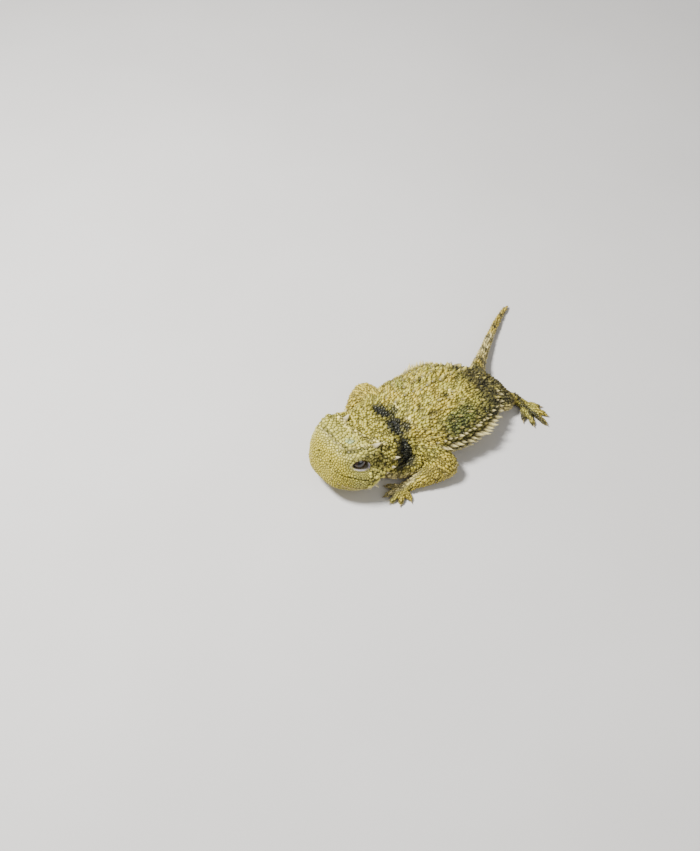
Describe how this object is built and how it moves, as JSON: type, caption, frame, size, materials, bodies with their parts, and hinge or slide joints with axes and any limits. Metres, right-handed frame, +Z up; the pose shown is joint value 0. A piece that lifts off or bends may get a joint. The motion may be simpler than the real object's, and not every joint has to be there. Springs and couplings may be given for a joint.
{
  "type": "horned lizard",
  "caption": "Life-size still model of a newborn short-horned lizard resting flat, with spiny head, fringed flanks, spread legs and short tail.",
  "frame": {"origin": "on the floor, under the middle of the trunk, at the centre of the belly's resting flat", "axes": "+Z up, the snout points along -Y and the animal's left is +X"},
  "size_m": [0.017, 0.0341, 0.0062],
  "materials": {
    "skin": "matte, granular scaly skin, olive yellow with dark brown blotches",
    "eye": "wet and glossy, near black"
  },
  "bodies": {
    "root": {"torso": "skin", "neck": "skin", "head": "skin", "eye_left": "eye", "eye_right": "eye", "tail_base": "skin", "tail_end": "skin", "upper_arm_left": "skin", "forearm_left": "skin", "hand_left": "skin", "thigh_left": "skin", "shank_left": "skin", "foot_left": "skin", "upper_arm_right": "skin", "forearm_right": "skin", "hand_right": "skin", "thigh_right": "skin", "shank_right": "skin", "foot_right": "skin"}
  },
  "joints": []
}
